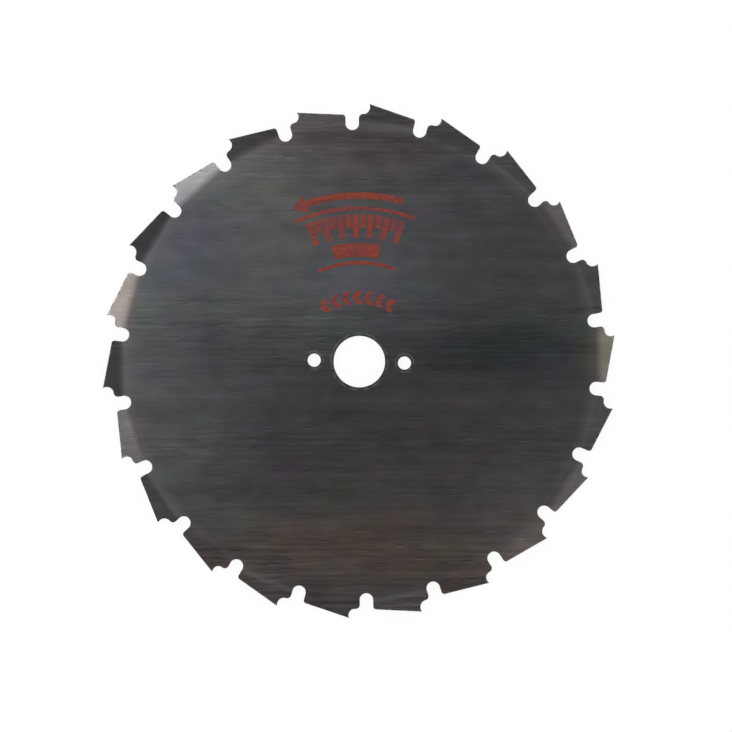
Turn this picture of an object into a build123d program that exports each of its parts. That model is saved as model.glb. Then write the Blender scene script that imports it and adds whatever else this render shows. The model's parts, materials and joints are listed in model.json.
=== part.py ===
from build123d import *

import os
from math import atan2, cos, degrees, radians, sin, sqrt, tan

# Plate, in millimetres
blade_diameter = 200.0
sheet_thickness = 1.5
bore_diameter = 20.0
pin_hole_diameter = 5.1
pin_hole_spacing = 35.1
hole_chamfer = 0.15

# Gullets, the round-bottomed slots between the teeth, as deep as given from the circle of the tips
tooth_pairs = 11
gullet_width = 5.2
gullet_depth = 10.0
first_gullet_angle = 11.7

# Teeth, bent out of the plate to either side in turn, from just beyond the gullets' bottoms, and filed sharp.
# The bend is tighter on the side that a tooth leans to, where the die pressed into it.
set_angle = 8.0
outer_bend_offset = 0.4
outer_bend_length = 3.8
inner_bend_offset = 1.1
inner_bend_length = 2.8
tip_offset = 6.9
top_relief_angle = 16.3
hook_angle = 25.0
file_diameter = 5.5
face_bevel_angle = 10.5
top_bevel_angle = 10.5
shoulder_radius = 1.6
shoulder_land = 0.1
back_corner_radius = 1.1

# Construction allowances, which leave no trace on the finished blade
lap = 4.0
arc_overrun = 20.0

# Sizes that follow from these
blade_radius = blade_diameter / 2
half_thickness = sheet_thickness / 2
file_radius = file_diameter / 2
pitch = 360 / (2 * tooth_pairs)
middle_angle = -pitch / 2
gullet_bottom_radius = blade_radius - gullet_depth
outer_bend_start = gullet_bottom_radius + outer_bend_offset
outer_bend_radius = outer_bend_length / radians(set_angle)
inner_bend_start = gullet_bottom_radius + inner_bend_offset
inner_bend_radius = inner_bend_length / radians(set_angle)
plate_radius = outer_bend_start - lap
strip_start = (plate_radius - lap) * cos(radians(middle_angle))
strip_reach = blade_radius - outer_bend_start + lap
strip_half_width = (blade_radius + lap) * tan(radians(pitch / 2))
cut_reach = blade_radius + lap


def at_angle(radius, angle):
    """A point of the plate's plane, by its distance from the centre and its angle in degrees."""
    return Vector(radius * cos(radians(angle)), radius * sin(radians(angle)))


# One tooth is drawn with the gullet ahead of it on the X axis and the gullet behind it one pitch clockwise.
# Its front face is a file's round hollow, tangent to the floor of the notch and ending at the tip.
tip = Vector(sqrt(blade_radius**2 - tip_offset**2), -tip_offset)
tip_angle = degrees(atan2(tip.Y, tip.X))
file_centre = tip - at_angle(file_radius, tip_angle - 90 + hook_angle)
notch_floor = file_centre.X - file_radius

# The shoulder's round leaves at least this land of the notch's floor before the hollow.
shoulder_room = -gullet_width / 2 - file_centre.Y - shoulder_land

# Its top is a straight line that falls from the tip to the gullet behind, where it still has this radius.
top_normal_angle = tip_angle - top_relief_angle
top_end_radius = blade_radius * cos(radians(top_relief_angle)) / cos(radians(top_normal_angle + pitch))

# The leaning side of a bent tooth is straight from the bend to the tip.
lean_start = inner_bend_start + inner_bend_radius * sin(radians(set_angle))
lean_start_height = half_thickness + inner_bend_radius * (1 - cos(radians(set_angle)))
tip_distance = blade_radius * cos(radians(tip_angle - middle_angle))
tip_height = lean_start_height + (tip_distance - lean_start) * tan(radians(set_angle))

middle_plane = Plane(origin=(0, 0, 0), x_dir=at_angle(1, middle_angle), z_dir=at_angle(1, middle_angle - 90))
face_slant = Vector(0, sin(radians(face_bevel_angle)), cos(radians(face_bevel_angle)))
top_outward = at_angle(cos(radians(top_bevel_angle)), top_normal_angle)
top_normal = top_outward - Vector(0, 0, sin(radians(top_bevel_angle)))
top_plane = Plane(origin=(tip.X, tip.Y, tip_height), z_dir=top_normal)

with BuildPart() as raised_tooth:
    # The sheet's section along the tooth's middle: flat, bend, and the straight lean to the tip
    with BuildSketch(middle_plane):
        with BuildLine():
            under = Line((strip_start, -half_thickness), (outer_bend_start, -half_thickness))
            under_bend = JernArc(under @ 1, under % 1, outer_bend_radius, set_angle)
            under_lean = PolarLine(under_bend @ 1, strip_reach, set_angle)
            over = Line((strip_start, half_thickness), (inner_bend_start, half_thickness))
            over_bend = JernArc(over @ 1, over % 1, inner_bend_radius, set_angle)
            over_lean = PolarLine(over_bend @ 1, strip_reach, set_angle)
            Line(under @ 0, over @ 0)
            Line(under_lean @ 1, over_lean @ 1)
        make_face()
    extrude(amount=strip_half_width, both=True)

    # The tooth's share of the rim, with half of each gullet beside it taken out
    with BuildSketch():
        Polygon((0, 0), at_angle(2 * blade_radius, -pitch), at_angle(2 * blade_radius, 0), align=None)
        with PolarLocations(gullet_bottom_radius, 2, start_angle=-pitch, angular_range=pitch, endpoint=True):
            SlotOverall(cut_reach, gullet_width, align=(Align.MIN, Align.CENTER), mode=Mode.SUBTRACT)
    extrude(amount=tip_height + sheet_thickness, both=True, mode=Mode.INTERSECT)

    # The notch in front of the tooth: its floor, and the hollow that the file leaves up to the tip
    with BuildSketch(Plane.XY.offset(tip_height)):
        with BuildLine():
            floor = Line((notch_floor, 0), (notch_floor, file_centre.Y))
            hollow = CenterArc(file_centre, file_radius, 180, 90 + tip_angle + hook_angle + arc_overrun)
            Polyline(hollow @ 1, (cut_reach, (hollow @ 1).Y), (cut_reach, 0), floor @ 0)
        make_face()
    extrude(amount=tip_height + sheet_thickness, dir=face_slant, both=True, mode=Mode.SUBTRACT)

    # The top, filed flat, falling away behind the tip and away from the leaning side
    split(bisect_by=top_plane, keep=Keep.BOTTOM)

    # The blunt corners: the shoulder over the gullet ahead, and the back of the top over the gullet behind
    shoulder = (notch_floor, -gullet_width / 2, 0)
    shoulder_edge = raised_tooth.edges().sort_by_distance(shoulder)[0]
    fillet(shoulder_edge, radius=min(shoulder_radius, shoulder_room))
    back_corner = at_angle(top_end_radius, -pitch) + at_angle(gullet_width / 2, 90 - pitch)
    fillet(raised_tooth.edges().sort_by_distance(back_corner)[0], radius=back_corner_radius)

# The tooth that leans to the other side is the same one turned over in the plate
with BuildPart() as lowered_tooth:
    add(raised_tooth.part)
    mirror(about=Plane.XY, mode=Mode.REPLACE)

with BuildPart() as blade:
    with BuildSketch(Plane.XY.offset(-half_thickness)):
        Circle(plate_radius)
    extrude(amount=sheet_thickness)
    with PolarLocations(0, tooth_pairs, start_angle=first_gullet_angle):
        add(lowered_tooth.part)
    with PolarLocations(0, tooth_pairs, start_angle=first_gullet_angle + pitch):
        add(raised_tooth.part)

    # The arbor bore and the two pin holes, deburred on both faces
    Hole(bore_diameter / 2)
    chamfer(blade.edges(Select.LAST).filter_by(GeomType.CIRCLE), length=hole_chamfer)
    with GridLocations(pin_hole_spacing, 0, 2, 1):
        Hole(pin_hole_diameter / 2)
    chamfer(blade.edges(Select.LAST).filter_by(GeomType.CIRCLE), length=hole_chamfer)

blade.part.label = "blade"

os.makedirs("parts", exist_ok=True)
export_step(blade.part, "parts/blade.step")
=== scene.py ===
import json
from math import cos, pi, radians, sin

import bpy
from mathutils import Matrix, Vector


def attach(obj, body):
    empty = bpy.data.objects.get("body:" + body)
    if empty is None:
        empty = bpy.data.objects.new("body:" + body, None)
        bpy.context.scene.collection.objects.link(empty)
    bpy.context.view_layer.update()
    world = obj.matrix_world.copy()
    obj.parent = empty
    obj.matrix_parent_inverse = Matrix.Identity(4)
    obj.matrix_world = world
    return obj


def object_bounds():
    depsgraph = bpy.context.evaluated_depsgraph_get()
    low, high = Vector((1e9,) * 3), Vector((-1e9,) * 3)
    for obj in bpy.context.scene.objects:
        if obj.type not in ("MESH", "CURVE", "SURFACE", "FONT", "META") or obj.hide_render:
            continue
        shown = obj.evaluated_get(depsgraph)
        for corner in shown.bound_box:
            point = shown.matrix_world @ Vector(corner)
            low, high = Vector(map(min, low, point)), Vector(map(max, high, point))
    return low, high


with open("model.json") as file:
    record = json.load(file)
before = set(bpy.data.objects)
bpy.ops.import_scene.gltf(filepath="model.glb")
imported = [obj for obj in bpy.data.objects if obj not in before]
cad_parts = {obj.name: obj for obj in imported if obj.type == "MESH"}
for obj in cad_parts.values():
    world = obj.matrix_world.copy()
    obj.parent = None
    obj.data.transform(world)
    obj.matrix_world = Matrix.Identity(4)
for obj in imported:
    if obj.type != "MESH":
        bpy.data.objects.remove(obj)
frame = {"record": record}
cad_low, cad_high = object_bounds()

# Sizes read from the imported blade, in metres
millimetre = 0.001
mounts = {mount["name"]: mount for mount in frame["record"]["mounts"]}
bore_radius = mounts["arbor_bore"]["dims"]["r_mm"] * millimetre
pin_hole_radius = mounts["pin_holes"]["dims"]["hole_r_mm"] * millimetre
pin_hole_spacing = mounts["pin_holes"]["dims"]["spacing_x_mm"] * millimetre
face_height = mounts["upper_clamp_face"]["pos_m"][2]
floor_height = cad_low.z

# How the photograph frames the blade: its scale and the bore's place are in pixels of the square frame
frame_pixels = 732
pixels_per_metre = 2575.0
bore_pixel = (359.33, 361.60)
blade_turn = radians(1.82)
lens_length = 100.0
sensor_width = 36.0

# The studio's light: how bright it is straight up and round the sides, and between which angles from
# straight up it changes
white = (1, 1, 1, 1)
overhead_level = 0.184
horizon_level = 1.08
overhead_edge = radians(31)
horizon_edge = radians(50)

# Soft boxes: their distance from the bore, and each one's direction as seen in the photograph, angle from
# straight up, width, length and radiance
soft_box_distance = 0.9
soft_boxes = {
    "soft_box_left": (radians(154.8), radians(30.3), 0.40, 0.52, 3.15),
    "soft_box_right": (radians(2.3), radians(34.3), 0.25, 0.75, 1.3),
}

# The floor: half its width, its colour as it lights the blade, and how bright and how full its glow is
# where it is looked at
floor_reach = 3.0
floor_colour = (0.92, 0.92, 0.92, 1)
glow_level = 1.02
glow_share = 0.9

# Brushing: how strong it shows at shares of the way from the blade's bottom to its top, half of that way in
# metres, and how much short and long streaks add to it
brushed_reach = 0.1
brushed_rows = [
    (0.00, 0.95), (0.13, 0.82), (0.20, 0.34), (0.27, 0.25), (0.35, 0.56),
    (0.40, 0.10), (0.45, 0.10), (0.50, 0.48), (0.56, 0.56), (0.61, 0.46),
    (0.66, 0.10), (0.72, 0.04), (0.80, 0.20), (0.88, 0.40), (1.00, 0.90),
]
short_streak_share = 0.7
long_streak_share = 0.9

# Marks of the rolling: how far a nick's light lip lies below it, which peaks of the noise show as marks,
# how strong they are where there is no brushing, and how much the brushing adds
lip_drop = 0.0005
mark_peaks = (0.68, 0.80)
mark_strength = 0.3
mark_gain = 0.8

# Patterns of noise: the length of a blotch along each axis in metres, detail, roughness, turn and shift
patterns = {
    "short streaks": ((0.012, 0.0011, 0.02), 1, 0.6, blade_turn, (0, 0, 0)),
    "long streaks": ((0.050, 0.0015, 0.02), 1, 0.6, blade_turn, (0.3, 0.3, 0)),
    "bands": ((0.12, 0.006, 0.1), 2, 0.55, blade_turn, (0.1, 0.7, 0)),
    "mottle": ((0.012, 0.007, 0.01), 3, 0.6, blade_turn, (0.6, 0.3, 0)),
    "nicks": ((0.0070, 0.0010, 0.02), 0, 0.5, blade_turn, (0.2, 0.9, 0)),
    "lips": ((0.0070, 0.0010, 0.02), 0, 0.5, blade_turn, (0.2, 0.9 - lip_drop, 0)),
    "patch edges": ((0.045, 0.03, 0.05), 2, 0.5, 0.0, (0.4, 0.4, 0)),
    "wide clouds": ((0.06, 0.035, 0.05), 2, 0.5, 0.4, (0.2, 0.8, 0)),
    "fine clouds": ((0.014, 0.010, 0.02), 2, 0.5, 0.4, (0.9, 0.2, 0)),
    "ring_breaks": ((0.003, 0.003, 0.01), 1, 0.5, 0.0, (0.5, 0.1, 0)),
    "burr": ((0.0016, 0.0016, 0.004), 1, 0.6, 0.0, (0.8, 0.6, 0)),
    "shear marks": ((0.00012, 0.00012, 0.004), 2, 0.6, 0.0, (0, 0, 0)),
    "flakes": ((0.0016, 0.0008, 0.002), 2, 0.6, blade_turn, (0.7, 0.1, 0)),
    "ink patches": ((0.010, 0.006, 0.01), 1, 0.5, blade_turn, (0.2, 0.5, 0)),
}

# The sheet: its colour, how strongly clouds of colour lie over it, and how much each pattern lightens it,
# roughens it and raises it
sheet_colour = (0.150, 0.150, 0.157, 1)
cloud_shares = {"wide clouds": 0.09, "fine clouds": 0.15}
sheet_tone = {"grain": 0.55, "bands": 0.25, "mottle": 0.65, "lips": 0.40, "nicks": -0.30}
sheet_roughness = 0.30
roughness_shares = {"grain": 0.15, "bands": 0.06, "walls": 0.15}
height_shares = {"grain": 1.0, "lips": 0.3, "nicks": -0.6}
bump_strength = 0.3
bump_depth = 0.00001

# Soft patches of the sheet, partly real stains and partly painted light and shade: how far their edges
# stray, as a share of their reach, and each one's middle and reach as seen in the photograph, in metres,
# and its tint
patch_stray = 0.5
stains_and_painted_shading = [
    ((0.006, -0.018), (0.105, 0.062), (0.79, 0.77, 0.78)),
    ((0.055, 0.005), (0.058, 0.023), (0.56, 0.64, 0.66)),
    ((0.000, -0.073), (0.105, 0.028), (1.31, 1.03, 0.87)),
    ((0.022, -0.045), (0.100, 0.055), (1.06, 0.99, 0.94)),
    ((-0.070, 0.044), (0.038, 0.040), (0.74, 0.78, 0.86)),
    ((0.000, 0.030), (0.060, 0.022), (0.93, 1.04, 1.06)),
    ((-0.006, 0.028), (0.072, 0.026), (1.28, 1.26, 1.26)),
    ((-0.028, -0.091), (0.034, 0.014), (0.84, 0.82, 0.83)),
    ((-0.030, -0.036), (0.048, 0.026), (0.86, 0.83, 0.87)),
    ((-0.036, 0.066), (0.036, 0.030), (1.22, 1.20, 1.10)),
    ((-0.044, 0.085), (0.017, 0.014), (0.99, 1.04, 1.04)),
    ((-0.018, 0.092), (0.028, 0.014), (0.85, 0.88, 0.89)),
    ((0.004, 0.048), (0.045, 0.036), (1.18, 1.18, 1.18)),
    ((-0.054, 0.006), (0.048, 0.026), (0.82, 0.81, 0.85)),
    ((-0.082, -0.006), (0.024, 0.036), (0.88, 0.88, 0.88)),
    ((0.066, -0.066), (0.034, 0.034), (1.34, 1.34, 1.29)),
    ((0.097, 0.004), (0.018, 0.020), (1.36, 1.31, 1.00)),
    ((-0.063, 0.073), (0.020, 0.020), (1.17, 1.24, 1.25)),
    ((-0.004, 0.083), (0.048, 0.017), (1.11, 0.91, 0.94)),
    ((-0.094, 0.027), (0.020, 0.024), (1.05, 0.98, 0.84)),
]

# Holes: each one's distance along X from the middle, and its radius. The painted highlight ring lies this
# far outside the hole's edge, and shows between these levels of the noise that breaks it.
holes = [
    (0, bore_radius),
    (-pin_hole_spacing / 2, pin_hole_radius),
    (pin_hole_spacing / 2, pin_hole_radius),
]
ring_offset = 0.0010
ring_half_width = 0.0005
ring_share = 0.65
hole_highlight_colour = (0.32, 0.32, 0.33, 1)
ring_break_levels = (0.38, 0.58)

# The rim, where the die set the teeth: where it starts, its warmer tint, and how much of the sheet's clouds
# is left on it
rim_start = 0.086
rim_tint = (1.06, 0.98, 0.96, 1)
rim_cloud_share = 0.3

# The painted highlight along the bends: the radii between which it rises, those between which it falls, and
# its colour. It is weaker on one side of the blade, and on the round side of a bend, which leans outwards.
band_rise = (0.0876, 0.0917)
band_fall = (0.0941, 0.0925)
highlight_colour = (0.310, 0.308, 0.313, 1)
band_side = blade_turn - radians(30)
band_side_reach = (-0.09, -0.02)
band_side_shares = (0.25, 1)
band_lean = (-0.04, 0.04)
band_lean_shares = (0.04, 0.42)

# The speckled burr on the sheet's edges: how wide an edge is, the cosines of the turns at which it starts
# and is whole, and its specks
edge_width = 0.0008
edge_samples = 6
edge_cosines = (0.999, 0.96)
edge_share = 0.7
burr_levels = (0.42, 0.56)
burr_colours = ((0.03, 0.028, 0.028, 1), (0.42, 0.41, 0.40, 1))

# Cut walls and filed faces: how level a surface is where it is all wall and where it is none, from 0 for
# upright to 1 for flat, and their colours
wall_levels = (0.80, 0.95)
wall_colours = ((0.015, 0.014, 0.014, 1), (0.05, 0.047, 0.045, 1))

# The ink: its two fresh colours and its worn one, what wears it, and how much each pattern lightens it
fresh_inks = ((0.205, 0.034, 0.032, 1), (0.270, 0.036, 0.013, 1))
worn_ink = (0.11, 0.045, 0.04, 1)
ink_patch_levels = (0.35, 0.65)
ink_wear = {"grain": 1.2, "mottle": 0.8, "flakes": 1.0}
ink_wear_levels = (-0.12, 0.34)
ink_tone = {"grain": 0.8, "mottle": 0.6}
ink_roughness = 0.5
ink_sheen = 0.3
worn_ink_metal = 0.6

# The print lies on arcs about the bore, and this is how far its middle is turned from the Y axis. Corners
# of it within the merging distance, in metres, become one.
print_turn = blade_turn + radians(1.5)
bar_counts = {"Long bar": 7, "Short bar": 6}
chevron_count = 7
arc_points = 40
merge_distance = 0.000001

# The print's sizes in millimetres and its turns in degrees
film_thickness = 0.02
print_sizes = {
    "Film thickness": film_thickness,
    "Arrow radius": 64.5,
    "Arrow width": 2.6,
    "Arrow sweep": 34.0,
    "Head width": 7.4,
    "Head length": 6.0,
    "Outer line radius": 59.6,
    "Inner line radius": 38.4,
    "Line width": 1.5,
    "Line sweep": 46.0,
    "Bar radius": 57.2,
    "Bar width": 2.1,
    "Long bar": 9.0,
    "Short bar": 5.0,
    "Bar step": 3.1,
    "Block radius": 43.4,
    "Block width": 5.4,
    "Block sweep": 24.0,
    "Chevron radius": 25.0,
    "Chevron height": 2.6,
    "Chevron width": 2.4,
    "Chevron lean": 1.7,
    "Chevron step": 10.0,
}


class Value:
    """A number, colour or vector in a node tree. Sums and products of numbers add their Math nodes."""

    def __init__(self, tree, socket):
        self.tree = tree
        self.socket = socket

    def math(self, operation, *operands):
        return self.tree.node("ShaderNodeMath", {"operation": operation}, dict(enumerate(operands)))

    def __add__(self, other):
        return self.math("ADD", self, other)

    def __radd__(self, other):
        return self.math("ADD", other, self)

    def __sub__(self, other):
        return self.math("SUBTRACT", self, other)

    def __rsub__(self, other):
        return self.math("SUBTRACT", other, self)

    def __mul__(self, other):
        return self.math("MULTIPLY", self, other)

    def __rmul__(self, other):
        return self.math("MULTIPLY", other, self)

    def __truediv__(self, other):
        return self.math("DIVIDE", self, other)

    def __pow__(self, other):
        return self.math("POWER", self, other)

    def __abs__(self):
        return self.math("ABSOLUTE", self)

    def greatest(self, other):
        return self.math("MAXIMUM", self, other)


class Tree:
    """A node tree and the one way in which nodes are added to it."""

    def __init__(self, tree):
        self.tree = tree
        tree.nodes.clear()

    def node(self, kind, settings=None, values=None, output=0):
        """Adds a node: its settings first, then its sockets by name, identifier or number.

        A socket gets a value or a link, or a list of links if it takes more than one. A list of outputs
        gives a list of their values.
        """
        made = self.tree.nodes.new(kind)
        for name, setting in (settings or {}).items():
            if name == "stops":
                self.fill_ramp(made.color_ramp, setting)
            else:
                setattr(made, name, setting)
        for name, value in (values or {}).items():
            socket = self.find(made.inputs, name)
            for each in value if isinstance(value, list) else [value]:
                if isinstance(each, Value):
                    self.tree.links.new(each.socket, socket)
                else:
                    socket.default_value = each
        if isinstance(output, list):
            return [Value(self, self.find(made.outputs, name)) for name in output]
        return Value(self, self.find(made.outputs, output)) if len(made.outputs) else None

    @staticmethod
    def find(sockets, name):
        if isinstance(name, int):
            return sockets[name]
        return next(s for s in sockets if name in (s.identifier, s.name))

    @staticmethod
    def fill_ramp(ramp, stops):
        while len(ramp.elements) > 1:
            ramp.elements.remove(ramp.elements[-1])
        for count, (position, level) in enumerate(stops):
            element = ramp.elements[0] if count == 0 else ramp.elements.new(position)
            element.position = position
            element.color = (level, level, level, 1)

    def parts_of(self, vector):
        """The x, y and z of a vector."""
        return self.node("ShaderNodeSeparateXYZ", None, {0: vector}, ["X", "Y", "Z"])

    def between(self, value, low, high, out_low=0.0, out_high=1.0):
        """The value's way from low to high, eased, as a number from out_low to out_high."""
        return self.node(
            "ShaderNodeMapRange",
            {"interpolation_type": "SMOOTHSTEP"},
            {"Value": value, "From Min": low, "From Max": high, "To Min": out_low, "To Max": out_high},
        )


class Shader(Tree):
    """A material's node tree."""

    def __init__(self, name):
        self.material = bpy.data.materials.new(name)
        self.material.use_nodes = True
        super().__init__(self.material.node_tree)
        self.place, self.normal = self.node("ShaderNodeTexCoord", output=["Object", "Normal"])

    def seen_from(self, centre, turn, lengths):
        """The place on the object in a frame with this centre and turn, whose units are the lengths."""
        return self.node(
            "ShaderNodeMapping",
            {"vector_type": "TEXTURE"},
            {"Vector": self.place, "Location": centre, "Rotation": (0, 0, turn), "Scale": lengths},
        )

    def noise(self, name, output="Fac"):
        """One of the patterns of noise."""
        lengths, detail, roughness, turn, shift = patterns[name]
        place = self.seen_from(shift, turn, lengths)
        return self.node(
            "ShaderNodeTexNoise",
            None,
            {"Vector": place, "Scale": 1.0, "Detail": detail, "Roughness": roughness},
            output,
        )

    def ripple(self, name):
        """One of the patterns of noise, as a number about 0."""
        return self.noise(name) - 0.5

    def mix_colour(self, share, first, second, blend="MIX"):
        """A colour that goes from the first to the second as share goes from 0 to 1."""
        return self.node(
            "ShaderNodeMix",
            {"data_type": "RGBA", "blend_type": blend},
            {"Factor_Float": share, "A_Color": first, "B_Color": second},
            "Result_Color",
        )

    def vector_math(self, operation, first, second=None, output="Vector", **more):
        values = {0: first, **more}
        if second is not None:
            values[1] = second
        return self.node("ShaderNodeVectorMath", {"operation": operation}, values, output)

    def finish(self, values):
        """Closes the tree with a Principled shader that has the given values, and gives the material."""
        surface = self.node("ShaderNodeBsdfPrincipled", None, values)
        self.node("ShaderNodeOutputMaterial", None, {"Surface": surface})
        return self.material


class Growth(Tree):
    """A geometry tree whose sizes are named inputs, in millimetres and degrees."""

    def __init__(self, name, sizes):
        super().__init__(bpy.data.node_groups.new(name, "GeometryNodeTree"))
        self.sizes = sizes
        self.tree.interface.new_socket("Geometry", in_out="OUTPUT", socket_type="NodeSocketGeometry")
        for size in sizes:
            self.tree.interface.new_socket(size, in_out="INPUT", socket_type="NodeSocketFloat")
        self.inputs = dict(zip(sizes, self.node("NodeGroupInput", output=list(sizes))))

    def size(self, name):
        return self.inputs[name] * millimetre

    def turn(self, name):
        return self.inputs[name] * radians(1)

    def vector(self, x, y, z):
        return self.node("ShaderNodeCombineXYZ", None, {"X": x, "Y": y, "Z": z})

    def join(self, *parts):
        return self.node("GeometryNodeJoinGeometry", None, {"Geometry": list(parts)})

    def merged(self, geometry):
        values = {"Geometry": geometry, "Distance": merge_distance}
        return self.node("GeometryNodeMergeByDistance", None, values)

    def moved(self, geometry, x=0.0, y=0.0, z=0.0, turn=0.0):
        """The geometry, turned about the Z axis and then moved."""
        move = self.vector(x, y, z)
        rotation = self.vector(0.0, 0.0, turn)
        values = {"Geometry": geometry, "Translation": move, "Rotation": rotation}
        return self.node("GeometryNodeTransform", None, values)

    def four_sided(self, kind, values):
        """A flat filled shape with four corners in the XY plane."""
        outline = self.node("GeometryNodeCurvePrimitiveQuadrilateral", {"mode": kind}, values)
        return self.node("GeometryNodeFillCurve", {"mode": "NGONS"}, {"Curve": outline})

    def slab(self, *flats):
        """A closed slab, as thick as the film, upon flat shapes that may share an edge."""
        flat = self.merged(self.join(*flats))
        top = self.node(
            "GeometryNodeExtrudeMesh",
            None,
            {"Mesh": flat, "Offset Scale": self.size("Film thickness"), "Individual": False},
        )
        return self.merged(self.join(top, self.node("GeometryNodeFlipFaces", None, {"Mesh": flat})))

    def arc(self, radius, width, sweep):
        """A closed band, as thick as the film, along an arc with its middle on the Y axis."""
        start = pi / 2 - sweep / 2
        line = self.node(
            "GeometryNodeCurveArc",
            {"mode": "RADIUS"},
            {"Resolution": arc_points, "Radius": radius, "Start Angle": start, "Sweep Angle": sweep},
        )
        level = self.node("GeometryNodeSetCurveNormal", {"mode": "Z_UP"}, {"Curve": line})
        section = self.node(
            "GeometryNodeCurvePrimitiveQuadrilateral",
            {"mode": "RECTANGLE"},
            {"Width": width, "Height": self.size("Film thickness")},
        )
        band = self.node(
            "GeometryNodeCurveToMesh",
            None,
            {"Curve": level, "Profile Curve": section, "Fill Caps": True},
        )
        return self.moved(band, z=self.size("Film thickness") / 2)

    def fan(self, geometry, count, step):
        """Copies of a piece turned about the origin, spread evenly to both sides of where it is."""
        at_origin = {"Count": count, "Offset": (0, 0, 0)}
        points = self.node("GeometryNodeMeshLine", {"mode": "OFFSET"}, at_origin)
        turn = (self.node("GeometryNodeInputIndex") - (count - 1) / 2) * step
        rotation = self.vector(0.0, 0.0, turn)
        values = {"Points": points, "Instance": geometry, "Rotation": rotation}
        return self.node("GeometryNodeInstanceOnPoints", None, values)

    def grow(self, name, geometry, material):
        """Ends the tree, runs it, and gives what it makes as an object with a plain mesh."""
        real = self.node("GeometryNodeRealizeInstances", None, {"Geometry": geometry})
        covered = self.node("GeometryNodeSetMaterial", None, {"Geometry": real, "Material": material})
        self.node("NodeGroupOutput", None, {0: covered})
        piece = add_object(name, bpy.data.meshes.new(name))
        modifier = piece.modifiers.new(name, "NODES")
        modifier.node_group = self.tree
        for item in self.tree.interface.items_tree:
            if item.in_out == "INPUT":
                modifier[item.identifier] = self.sizes[item.name]
        made = piece.evaluated_get(bpy.context.evaluated_depsgraph_get())
        mesh = bpy.data.meshes.new_from_object(made)
        piece.modifiers.remove(modifier)
        piece.data = mesh
        return piece


def summed(marks, shares, start=0.0):
    """The start, with the given share of each named mark added."""
    return sum((marks[name] * share for name, share in shares.items()), start)


def brush_strength(shader):
    """How strong the brushing is at each height of the blade as the photograph shows it."""
    across = shader.parts_of(shader.seen_from((0, 0, 0), blade_turn, (1, 1, 1)))[1]
    height = across / (2 * brushed_reach) + 0.5
    return shader.node("ShaderNodeValToRGB", {"stops": brushed_rows}, {"Fac": height})


def grain(shader, strength):
    """The fine streaks of the brushing, as a number about 0."""
    short = shader.ripple("short streaks") * short_streak_share
    long = shader.ripple("long streaks") * long_streak_share
    return (short + long) * strength


def with_stains_and_painted_shading(shader, colour):
    """The colour with soft patches of real stain and of painted light and shade, whose edges wander."""
    wander = shader.noise("patch edges", "Color")
    stray = shader.vector_math("SCALE", wander, None, Scale=patch_stray)
    usual_stray = (patch_stray / 2,) * 3
    for centre, reach, tint in stains_and_painted_shading:
        middle = Matrix.Rotation(blade_turn, 2) @ Vector(centre)
        near = shader.seen_from((*middle, 0), blade_turn, (*reach, 1))
        strayed = shader.vector_math("ADD", near, stray)
        level = shader.vector_math("DISTANCE", strayed, usual_stray, output="Value")
        mask = shader.between(level, 0, 1, 1, 0)
        colour = shader.mix_colour(mask, colour, (*tint, 1), "MULTIPLY")
    return colour


def with_hole_highlights(shader, colour, x, y):
    """The colour with a painted highlight ring, broken in places, round each hole."""
    ring_breaks = shader.between(shader.noise("ring_breaks"), *ring_break_levels)
    for centre_x, hole_radius in holes:
        across = x - centre_x
        distance = (across * across + y * y) ** 0.5
        ring = shader.between(abs(distance - (hole_radius + ring_offset)), 0, ring_half_width, 1, 0)
        colour = shader.mix_colour(ring * ring_breaks * ring_share, colour, hole_highlight_colour)
    return colour


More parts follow.
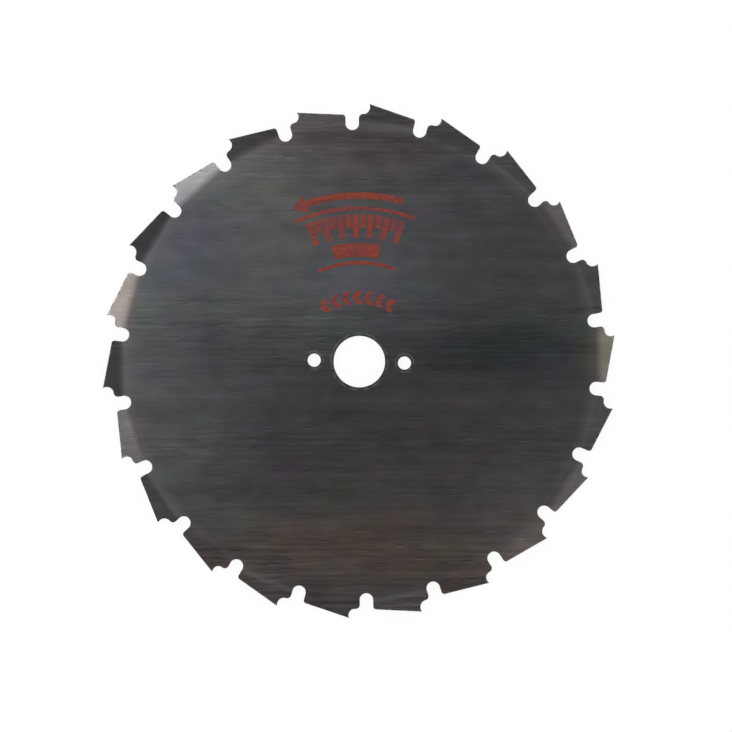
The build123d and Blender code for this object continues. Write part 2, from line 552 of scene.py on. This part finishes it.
def steel_material():
    """The brushed sheet steel, with painted highlights round its holes and along its bends, and its darker
    cut walls.
    """
    shader = Shader("brushed_steel_sheet")
    x, y, _ = shader.parts_of(shader.place)
    nx, ny, nz = shader.parts_of(shader.normal)
    radius = (x * x + y * y) ** 0.5
    strength = brush_strength(shader)
    crowd = strength * mark_gain + mark_strength
    walls = shader.between(abs(nz), *wall_levels, 1, 0)
    marks = {
        "grain": grain(shader, strength),
        "bands": shader.ripple("bands"),
        "mottle": shader.ripple("mottle"),
        "nicks": shader.between(shader.noise("nicks"), *mark_peaks) * crowd,
        "lips": shader.between(shader.noise("lips"), *mark_peaks) * crowd,
        "walls": walls,
    }

    # The sheet, with its stains and painted light and shade, its faint clouds of colour and the marks of
    # its making
    cloudy = shader.between(radius, rim_start, band_rise[1], 1, rim_cloud_share)
    colour = with_stains_and_painted_shading(shader, sheet_colour)
    for name, share in cloud_shares.items():
        colour = shader.mix_colour(cloudy * share, colour, shader.noise(name, "Color"), "OVERLAY")
    toned = shader.vector_math("SCALE", colour, None, Scale=summed(marks, sheet_tone, 1))
    # Painted highlight rings round the holes
    worn = with_hole_highlights(shader, toned, x, y)

    # The rim is warmer, and a light band of painted highlight lies along the bends, more on their hollow
    # side.
    inward = (x * nx + y * ny) / radius * -1
    sideways = x * cos(band_side) + y * sin(band_side)
    band = shader.between(radius, *band_rise) * shader.between(radius, *band_fall)
    uneven = shader.between(sideways, *band_side_reach, *band_side_shares)
    painted_highlight = band * uneven * shader.between(inward, *band_lean, *band_lean_shares)
    rim = shader.between(radius, rim_start, band_rise[1])
    warmed = shader.mix_colour(rim, worn, rim_tint, "MULTIPLY")
    highlighted = shader.mix_colour(painted_highlight, warmed, highlight_colour)

    # A speckled burr runs along the sheet's edges, and the cut walls and filed faces are darker.
    rounded = shader.node("ShaderNodeBevel", {"samples": edge_samples}, {"Radius": edge_width})
    facing = shader.vector_math("DOT_PRODUCT", rounded, shader.normal, output="Value")
    specks = shader.between(shader.noise("burr"), *burr_levels)
    burr = shader.mix_colour(specks, *burr_colours)
    edged = shader.mix_colour(shader.between(facing, *edge_cosines) * edge_share, highlighted, burr)
    cut = shader.mix_colour(shader.noise("shear marks"), *wall_colours)
    height = summed(marks, height_shares)
    bump_values = {"Strength": bump_strength, "Distance": bump_depth, "Height": height}
    return shader.finish(
        {
            "Base Color": shader.mix_colour(walls, edged, cut),
            "Metallic": 1.0,
            "Roughness": summed(marks, roughness_shares, sheet_roughness),
            "Normal": shader.node("ShaderNodeBump", None, bump_values),
        }
    )


def ink_material():
    """Red ink, worn off where the brushed sheet stands up and in flakes."""
    shader = Shader("red_marking_ink")
    marks = {
        "grain": grain(shader, brush_strength(shader)),
        "mottle": shader.ripple("mottle"),
        "flakes": shader.ripple("flakes"),
    }
    worn = shader.between(summed(marks, ink_wear), *ink_wear_levels)
    patches = shader.between(shader.noise("ink patches"), *ink_patch_levels)
    thinned = shader.mix_colour(worn, shader.mix_colour(patches, *fresh_inks), worn_ink)
    return shader.finish(
        {
            "Base Color": shader.vector_math("SCALE", thinned, None, Scale=summed(marks, ink_tone, 1)),
            "Metallic": worn * worn_ink_metal,
            "Roughness": ink_roughness,
            "Specular IOR Level": ink_sheen,
        }
    )


def floor_material():
    """A white floor that lights the blade as paper does, and glows evenly where it is looked at."""
    shader = Shader("white_floor")
    rays = ["Is Camera Ray", "Is Glossy Ray", "Is Transmission Ray"]
    camera, glossy, passed = shader.node("ShaderNodeLightPath", output=rays)
    looked_at = camera.greatest(glossy).greatest(passed) * glow_share
    lit = shader.node("ShaderNodeBsdfDiffuse", None, {"Color": floor_colour})
    glow = shader.node("ShaderNodeEmission", None, {"Color": white, "Strength": glow_level})
    both = shader.node("ShaderNodeMixShader", None, {0: looked_at, 1: lit, 2: glow})
    shader.node("ShaderNodeOutputMaterial", None, {"Surface": both})
    return shader.material


def direction_print(material):
    """The red print: an arrow the way the blade turns, bars and a block between two lines, and chevrons."""
    tree = Growth("direction_print", print_sizes)
    arrow_radius = tree.size("Arrow radius")
    head_length = tree.size("Head length")
    arrow = tree.arc(arrow_radius, tree.size("Arrow width"), tree.turn("Arrow sweep"))
    head = tree.slab(
        tree.four_sided(
            "TRAPEZOID",
            {
                "Bottom Width": tree.size("Head width"),
                "Top Width": 0.0,
                "Height": head_length,
                "Offset": 0.0,
            },
        )
    )
    head_out = tree.moved(head, x=head_length * -0.5, y=arrow_radius, turn=pi / 2)
    head_placed = tree.moved(head_out, turn=tree.turn("Arrow sweep") / 2)

    line_width = tree.size("Line width")
    line_sweep = tree.turn("Line sweep")
    outer_line = tree.arc(tree.size("Outer line radius"), line_width, line_sweep)
    inner_line = tree.arc(tree.size("Inner line radius"), line_width, line_sweep)
    block = tree.arc(tree.size("Block radius"), tree.size("Block width"), tree.turn("Block sweep"))

    # Long and short bars take turns, one step apart.
    bars = []
    for length, count in bar_counts.items():
        sides = {"Width": tree.size("Bar width"), "Height": tree.size(length)}
        bar = tree.slab(tree.four_sided("RECTANGLE", sides))
        bar_out = tree.moved(bar, y=tree.size("Bar radius") - tree.size(length) / 2)
        bars.append(tree.fan(bar_out, count, tree.turn("Bar step") * 2))

    halves = []
    for side in (1, -1):
        half = tree.four_sided(
            "PARALLELOGRAM",
            {
                "Width": tree.size("Chevron width"),
                "Height": tree.size("Chevron height"),
                "Offset": tree.size("Chevron lean") * side,
            },
        )
        halves.append(tree.moved(half, y=tree.size("Chevron height") / 2 * side))
    chevron = tree.moved(tree.slab(*halves), y=tree.size("Chevron radius"))
    chevrons = tree.fan(chevron, chevron_count, tree.turn("Chevron step"))

    # Half the film lies in the sheet's face.
    marks = tree.join(arrow, head_placed, outer_line, inner_line, block, *bars, chevrons)
    placed = tree.moved(marks, z=face_height - film_thickness * millimetre / 2, turn=print_turn)
    return tree.grow("direction_print", placed, material)


def add_object(name, data):
    thing = bpy.data.objects.new(name, data)
    bpy.context.scene.collection.objects.link(thing)
    return thing


def make_floor():
    mesh = bpy.data.meshes.new("studio_floor")
    corners = [(-1, -1), (1, -1), (1, 1), (-1, 1)]
    places = [(x * floor_reach, y * floor_reach, floor_height) for x, y in corners]
    mesh.from_pydata(places, [], [(0, 1, 2, 3)])
    mesh.materials.append(floor_material())
    floor = add_object("studio_floor", mesh)


def make_camera():
    data = bpy.data.cameras.new("photo_camera")
    data.lens = lens_length
    data.sensor_width = sensor_width
    camera = add_object("photo_camera", data)
    right = Vector((cos(blade_turn), sin(blade_turn), 0))
    up = Vector((-sin(blade_turn), cos(blade_turn), 0))
    right_shift = (frame_pixels / 2 - bore_pixel[0]) / pixels_per_metre
    down_shift = (frame_pixels / 2 - bore_pixel[1]) / pixels_per_metre
    distance = frame_pixels / pixels_per_metre * lens_length / sensor_width
    camera.location = right * right_shift - up * down_shift + Vector((0, 0, face_height + distance))
    camera.rotation_euler = (0, 0, blade_turn)
    bpy.context.scene.camera = camera


def make_lamp(name, direction, tilt, width, length, radiance):
    """A soft box that faces the bore."""
    data = bpy.data.lights.new(name, "AREA")
    data.shape = "RECTANGLE"
    data.size = width
    data.size_y = length
    data.energy = radiance * pi * width * length
    lamp = add_object(name, data)
    turn = direction + blade_turn
    away = Vector((sin(tilt) * cos(turn), sin(tilt) * sin(turn), cos(tilt)))
    sideways = Vector((-sin(turn), cos(turn), 0))
    lamp.location = away * soft_box_distance
    lamp.rotation_euler = Matrix((sideways.cross(away), sideways, away)).transposed().to_euler()


def make_world():
    world = bpy.data.worlds.new("studio")
    world.use_nodes = True
    tree = Tree(world.node_tree)
    up = tree.parts_of(tree.node("ShaderNodeTexCoord", output="Generated"))[2]
    level = tree.between(up, cos(horizon_edge), cos(overhead_edge), horizon_level, overhead_level)
    light = tree.node("ShaderNodeBackground", None, {"Color": white, "Strength": level})
    tree.node("ShaderNodeOutputWorld", None, {"Surface": light})
    bpy.context.scene.world = world


blade = bpy.data.objects["blade"]
blade.material_slots[0].material = steel_material()
marking = direction_print(ink_material())
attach(marking, "root")

make_floor()
make_camera()
make_world()
for name, sizes in soft_boxes.items():
    make_lamp(name, *sizes)
bpy.context.scene.view_settings.view_transform = "Standard"
